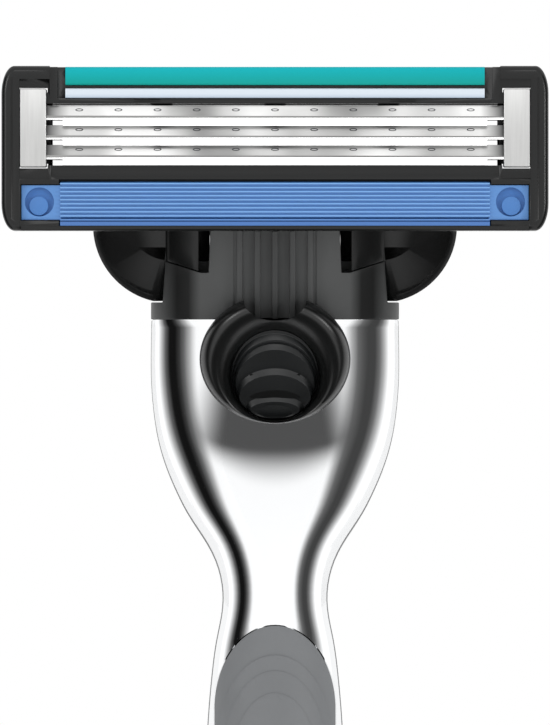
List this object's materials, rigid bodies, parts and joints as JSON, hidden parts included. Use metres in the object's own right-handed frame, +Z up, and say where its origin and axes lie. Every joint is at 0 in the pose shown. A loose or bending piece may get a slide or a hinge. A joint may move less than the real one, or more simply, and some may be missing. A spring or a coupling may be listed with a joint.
{
  "type": "cartridge razor",
  "caption": "Wet-shaving razor: chrome handle with elastomer grips, sliding release button and a pivoting blade cartridge with sprung blades, guard and lubricating strips.",
  "frame": {"origin": "centre of the handle's waist, where a stand's fork holds the razor", "axes": "+X to the razor's left-hand side as seen from behind, -Y the shaving side, +Z up the handle towards the head"},
  "size_m": [0.0414, 0.0333, 0.143],
  "materials": {
    "chrome": "bright chrome plate on a die casting",
    "grip_elastomer": "moulded elastomer, satin",
    "black_nylon": "moulded nylon, satin",
    "black_gloss": "moulded ABS, polished",
    "pad_elastomer": "moulded elastomer, satin",
    "core_plastic": "moulded glass-filled nylon",
    "spring_steel": "drawn spring wire",
    "blade_steel": "ground and coated blade steel",
    "support_steel": "stamped stainless steel",
    "clip_metal": "formed aluminium strip, satin",
    "blue_elastomer": "overmoulded thermoplastic elastomer",
    "teal_strip": "extruded lubricating polymer",
    "pale_strip": "extruded lubricating polymer"
  },
  "bodies": {
    "handle": {"handle_front_shell": "chrome", "handle_back_shell": "chrome", "front_grip": "grip_elastomer", "back_grip": "grip_elastomer", "handle_core": "core_plastic", "end_cap": "chrome", "head_carrier": "black_nylon", "plunger_spring": "spring_steel", "button_spring": "spring_steel"},
    "button": {"release_button": "black_gloss", "button_pad": "pad_elastomer", "ejector": "core_plastic"},
    "plunger": {"plunger": "black_nylon"},
    "yoke": {"interconnect": "black_nylon"},
    "cartridge": {"housing": "black_nylon", "guard": "blue_elastomer", "lubricating_strip": "teal_strip", "comfort_strip": "pale_strip", "clip_left": "clip_metal", "clip_right": "clip_metal"},
    "blade_1": {"blade_1": "blade_steel", "blade_support_1": "support_steel"},
    "blade_2": {"blade_2": "blade_steel", "blade_support_2": "support_steel"},
    "blade_3": {"blade_3": "blade_steel", "blade_support_3": "support_steel"}
  },
  "joints": [
    {"name": "button_slide", "type": "slide", "parent": "handle", "child": "button", "axis": [0, -0.4226, 0.9063], "range_m": [0, 0.004], "stiffness_N_per_m": 200, "springref_m": -0.002, "deforming": ["button_spring"]},
    {"name": "yoke_release", "type": "slide", "parent": "handle", "child": "yoke", "axis": [0, -0.4226, 0.9063], "range_m": [0, 0.004]},
    {"name": "cartridge_pivot", "type": "hinge", "parent": "yoke", "child": "cartridge", "pos_m": [0, -0.0176, 0.0315], "axis": [-1, 0, 0], "range_deg": [0, 44], "stiffness_Nm_per_rad": 0.02, "springref_deg": -20.05},
    {"name": "plunger_slide", "type": "slide", "parent": "handle", "child": "plunger", "axis": [0, -0.4226, 0.9063], "range_m": [-0.0032, 0], "deforming": ["plunger_spring"]},
    {"name": "blade_1_float", "type": "slide", "parent": "cartridge", "child": "blade_1", "axis": [0, 1, 0], "range_m": [0, 0.00035], "stiffness_N_per_m": 400, "springref_m": -0.0003},
    {"name": "blade_2_float", "type": "slide", "parent": "cartridge", "child": "blade_2", "axis": [0, 1, 0], "range_m": [0, 0.00035], "stiffness_N_per_m": 400, "springref_m": -0.0003},
    {"name": "blade_3_float", "type": "slide", "parent": "cartridge", "child": "blade_3", "axis": [0, 1, 0], "range_m": [0, 0.00035], "stiffness_N_per_m": 400, "springref_m": -0.0003}
  ],
  "couplings": [
    {"joint": "yoke_release", "follows": "button_slide", "ratio": 1},
    {"joint": "plunger_slide", "follows": "cartridge_pivot", "m_per_rad": -0.0039024}
  ]
}
